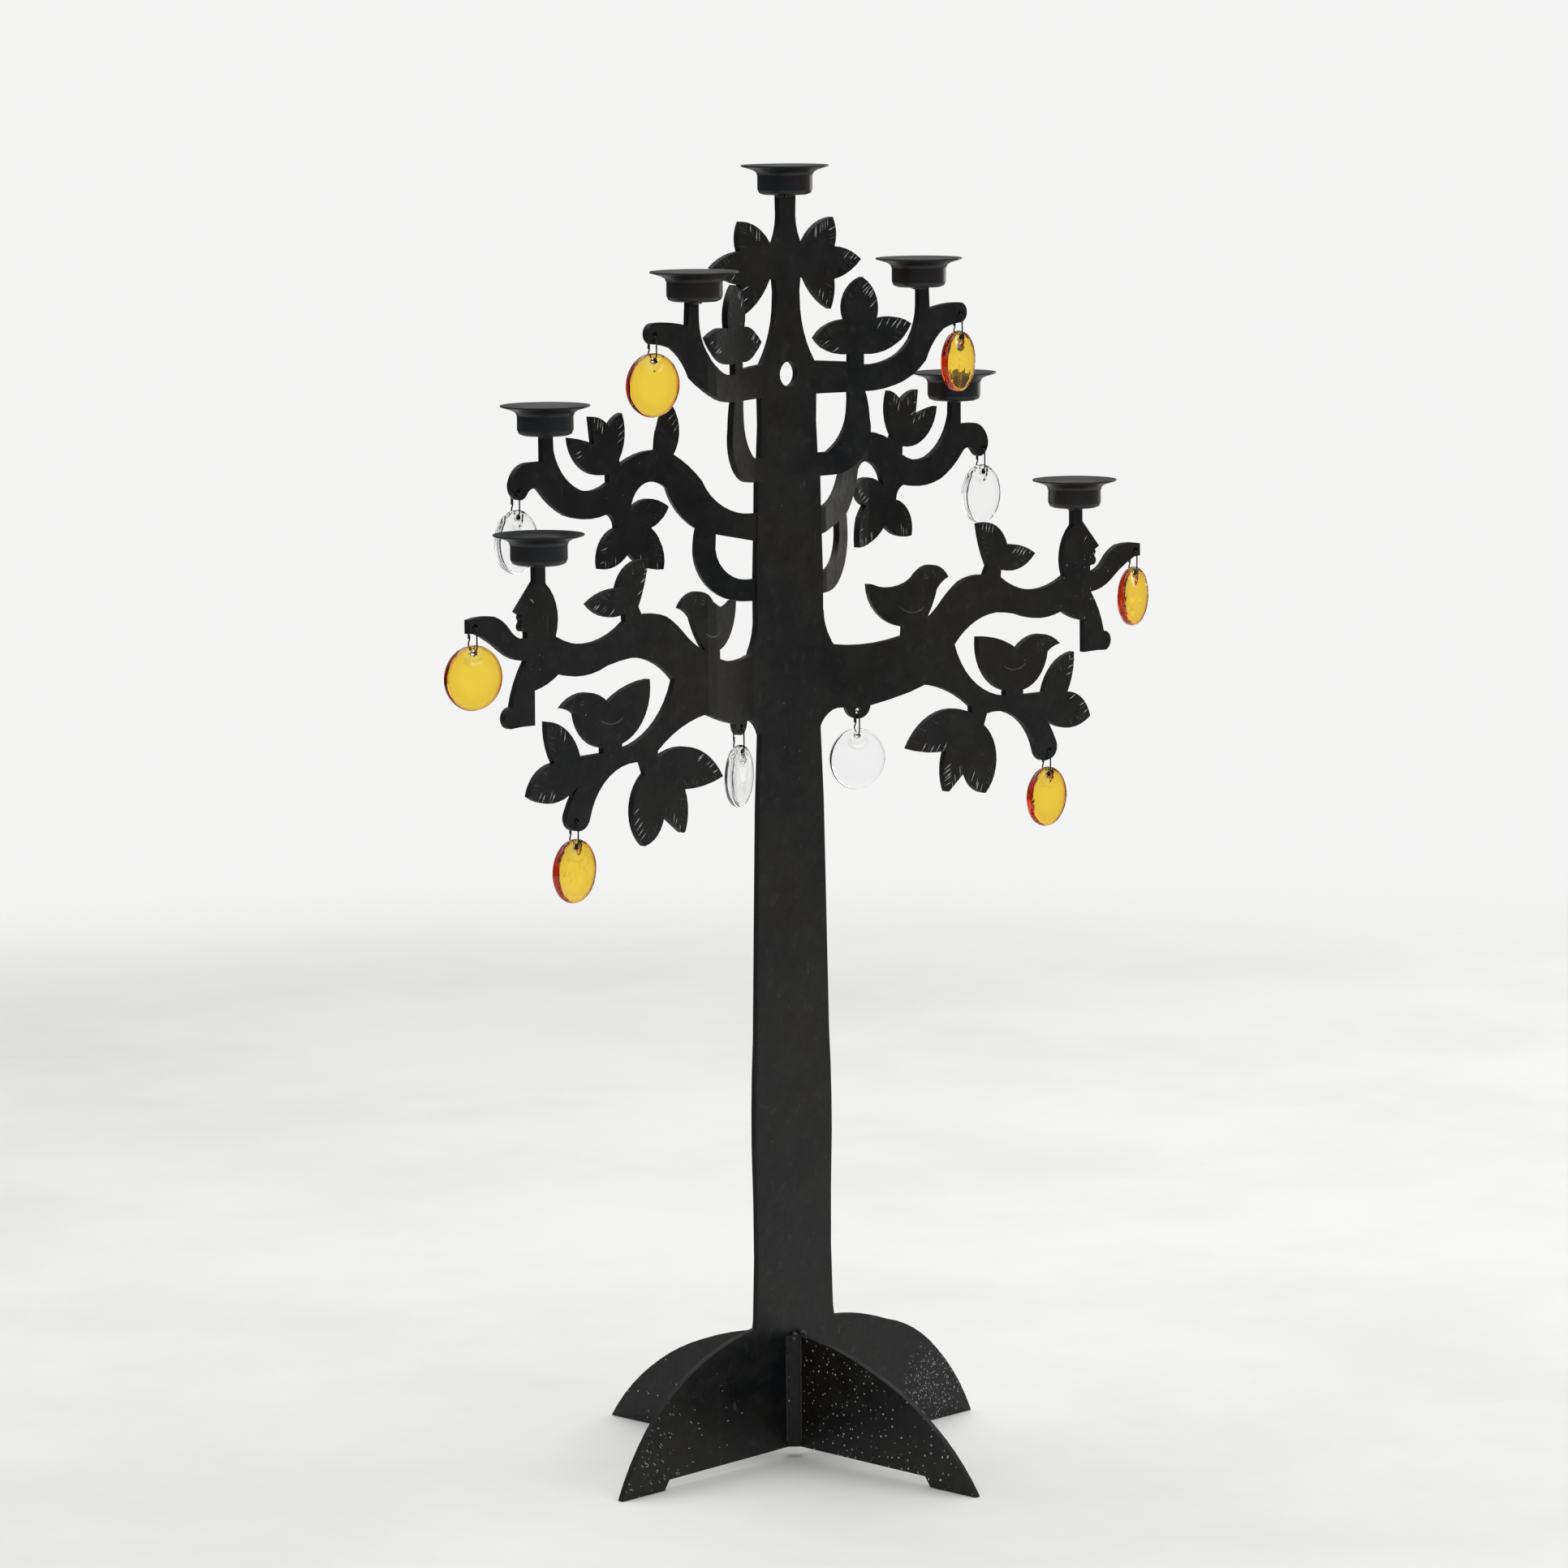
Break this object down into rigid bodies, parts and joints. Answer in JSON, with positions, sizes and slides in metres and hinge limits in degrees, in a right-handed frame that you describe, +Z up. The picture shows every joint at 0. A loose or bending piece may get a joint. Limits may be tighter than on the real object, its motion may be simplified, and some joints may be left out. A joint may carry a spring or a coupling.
{
  "type": "tree of life candelabra",
  "caption": "Floor candelabra cut from steel plate as a tree of life, with bent arms, flared tealight cups, welded cross feet and glass discs hanging on wire links.",
  "frame": {"origin": "floor level, on the axis of the trunk where the crossed feet meet", "axes": "+Z up along the trunk, +X along the tree plate to the right, +Y towards the rear foot, so that the front faces -Y"},
  "size_m": [0.8126, 0.412, 1.05],
  "materials": {
    "black_paint": "satin black paint over hammered, flame-cut steel",
    "black_wire": "black annealed wire",
    "amber_glass": "cast amber glass, yellow in the middle and orange to red-brown at the rim, glossy",
    "clear_glass": "clear cast glass, glossy"
  },
  "bodies": {
    "tree": {"tree_plate": "black_paint", "front_foot_plate": "black_paint", "rear_foot_plate": "black_paint", "corner_bar_1": "black_paint", "corner_bar_2": "black_paint", "corner_bar_3": "black_paint", "corner_bar_4": "black_paint", "cup_top": "black_paint", "cup_upper_left": "black_paint", "cup_upper_right": "black_paint", "cup_middle_left": "black_paint", "cup_middle_right": "black_paint", "cup_lower_left": "black_paint", "cup_lower_right": "black_paint"},
    "link_upper_left": {"wire_upper_left": "black_wire"},
    "disc_upper_left": {"glass_upper_left": "amber_glass"},
    "link_upper_right": {"wire_upper_right": "black_wire"},
    "disc_upper_right": {"glass_upper_right": "amber_glass"},
    "link_middle_left": {"wire_middle_left": "black_wire"},
    "disc_middle_left": {"glass_middle_left": "clear_glass"},
    "link_middle_right": {"wire_middle_right": "black_wire"},
    "disc_middle_right": {"glass_middle_right": "clear_glass"},
    "link_hand_left": {"wire_hand_left": "black_wire"},
    "disc_hand_left": {"glass_hand_left": "amber_glass"},
    "link_hand_right": {"wire_hand_right": "black_wire"},
    "disc_hand_right": {"glass_hand_right": "amber_glass"},
    "link_tip_left": {"wire_tip_left": "black_wire"},
    "disc_tip_left": {"glass_tip_left": "amber_glass"},
    "link_tip_right": {"wire_tip_right": "black_wire"},
    "disc_tip_right": {"glass_tip_right": "amber_glass"},
    "link_inner_left": {"wire_inner_left": "black_wire"},
    "disc_inner_left": {"glass_inner_left": "clear_glass"},
    "link_inner_right": {"wire_inner_right": "black_wire"},
    "disc_inner_right": {"glass_inner_right": "clear_glass"}
  },
  "joints": [
    {"name": "link_upper_left_swing", "type": "hinge", "parent": "tree", "child": "link_upper_left", "pos_m": [-0.1762, -0.02551, 0.9249], "axis": [0, 1, 0], "range_deg": [-8, 25]},
    {"name": "disc_upper_left_swing", "type": "hinge", "parent": "link_upper_left", "child": "disc_upper_left", "pos_m": [-0.1762, -0.02551, 0.9051], "axis": [0.1392, 0.9903, 0], "range_deg": [-6, 20]},
    {"name": "link_upper_right_swing", "type": "hinge", "parent": "tree", "child": "link_upper_right", "pos_m": [0.1762, -0.02551, 0.9249], "axis": [0, 1, 0], "range_deg": [-25, 8]},
    {"name": "disc_upper_right_swing", "type": "hinge", "parent": "link_upper_right", "child": "disc_upper_right", "pos_m": [0.1762, -0.02551, 0.9051], "axis": [-0.225, 0.9744, 0], "range_deg": [-20, 6]},
    {"name": "link_middle_left_swing", "type": "hinge", "parent": "tree", "child": "link_middle_left", "pos_m": [-0.26866, 0.03308, 0.8064], "axis": [0, 1, 0], "range_deg": [-16, 25]},
    {"name": "disc_middle_left_swing", "type": "hinge", "parent": "link_middle_left", "child": "disc_middle_left", "pos_m": [-0.26866, 0.03308, 0.7866], "axis": [-0.1392, 0.9903, 0], "range_deg": [-12, 20]},
    {"name": "link_middle_right_swing", "type": "hinge", "parent": "tree", "child": "link_middle_right", "pos_m": [0.26866, 0.03308, 0.8064], "axis": [0, 1, 0], "range_deg": [-25, 16]},
    {"name": "disc_middle_right_swing", "type": "hinge", "parent": "link_middle_right", "child": "disc_middle_right", "pos_m": [0.26866, 0.03308, 0.7866], "axis": [-0.1045, 0.9945, 0], "range_deg": [-20, 12]},
    {"name": "link_hand_left_swing", "type": "hinge", "parent": "tree", "child": "link_hand_left", "pos_m": [-0.382, -0.03707, 0.7164], "axis": [-0.0304, 0.9995, 0], "range_deg": [-6, 25]},
    {"name": "disc_hand_left_swing", "type": "hinge", "parent": "link_hand_left", "child": "disc_hand_left", "pos_m": [-0.382, -0.03707, 0.6966], "axis": [0.2123, 0.9772, 0], "range_deg": [-5, 20]},
    {"name": "link_hand_right_swing", "type": "hinge", "parent": "tree", "child": "link_hand_right", "pos_m": [0.382, -0.03707, 0.7164], "axis": [0.0304, 0.9995, 0], "range_deg": [-25, 6]},
    {"name": "disc_hand_right_swing", "type": "hinge", "parent": "link_hand_right", "child": "disc_hand_right", "pos_m": [0.382, -0.03707, 0.6966], "axis": [-0.2463, 0.9692, 0], "range_deg": [-20, 5]},
    {"name": "link_tip_left_swing", "type": "hinge", "parent": "tree", "child": "link_tip_left", "pos_m": [-0.27505, -0.03383, 0.5569], "axis": [-0.0304, 0.9995, 0], "range_deg": [-25, 25]},
    {"name": "disc_tip_left_swing", "type": "hinge", "parent": "link_tip_left", "child": "disc_tip_left", "pos_m": [-0.27505, -0.03383, 0.5371], "axis": [-0.1347, 0.9909, 0], "range_deg": [-20, 20]},
    {"name": "link_tip_right_swing", "type": "hinge", "parent": "tree", "child": "link_tip_right", "pos_m": [0.27505, -0.03383, 0.5569], "axis": [0.0304, 0.9995, 0], "range_deg": [-25, 25]},
    {"name": "disc_tip_right_swing", "type": "hinge", "parent": "link_tip_right", "child": "disc_tip_right", "pos_m": [0.27505, -0.03383, 0.5371], "axis": [-0.0743, 0.9972, 0], "range_deg": [-20, 20]},
    {"name": "link_inner_left_swing", "type": "hinge", "parent": "tree", "child": "link_inner_left", "pos_m": [-0.06877, -0.01066, 0.6074], "axis": [-0.3486, 0.9373, 0], "range_deg": [-6, 12]},
    {"name": "disc_inner_left_swing", "type": "hinge", "parent": "link_inner_left", "child": "disc_inner_left", "pos_m": [-0.06877, -0.01066, 0.5876], "axis": [-0.3811, 0.9245, 0], "range_deg": [-5, 8]},
    {"name": "link_inner_right_swing", "type": "hinge", "parent": "tree", "child": "link_inner_right", "pos_m": [0.06877, -0.01066, 0.6074], "axis": [0.3486, 0.9373, 0], "range_deg": [-12, 6]},
    {"name": "disc_inner_right_swing", "type": "hinge", "parent": "link_inner_right", "child": "disc_inner_right", "pos_m": [0.06877, -0.01066, 0.5876], "axis": [0.3486, 0.9373, 0], "range_deg": [-8, 5]}
  ]
}
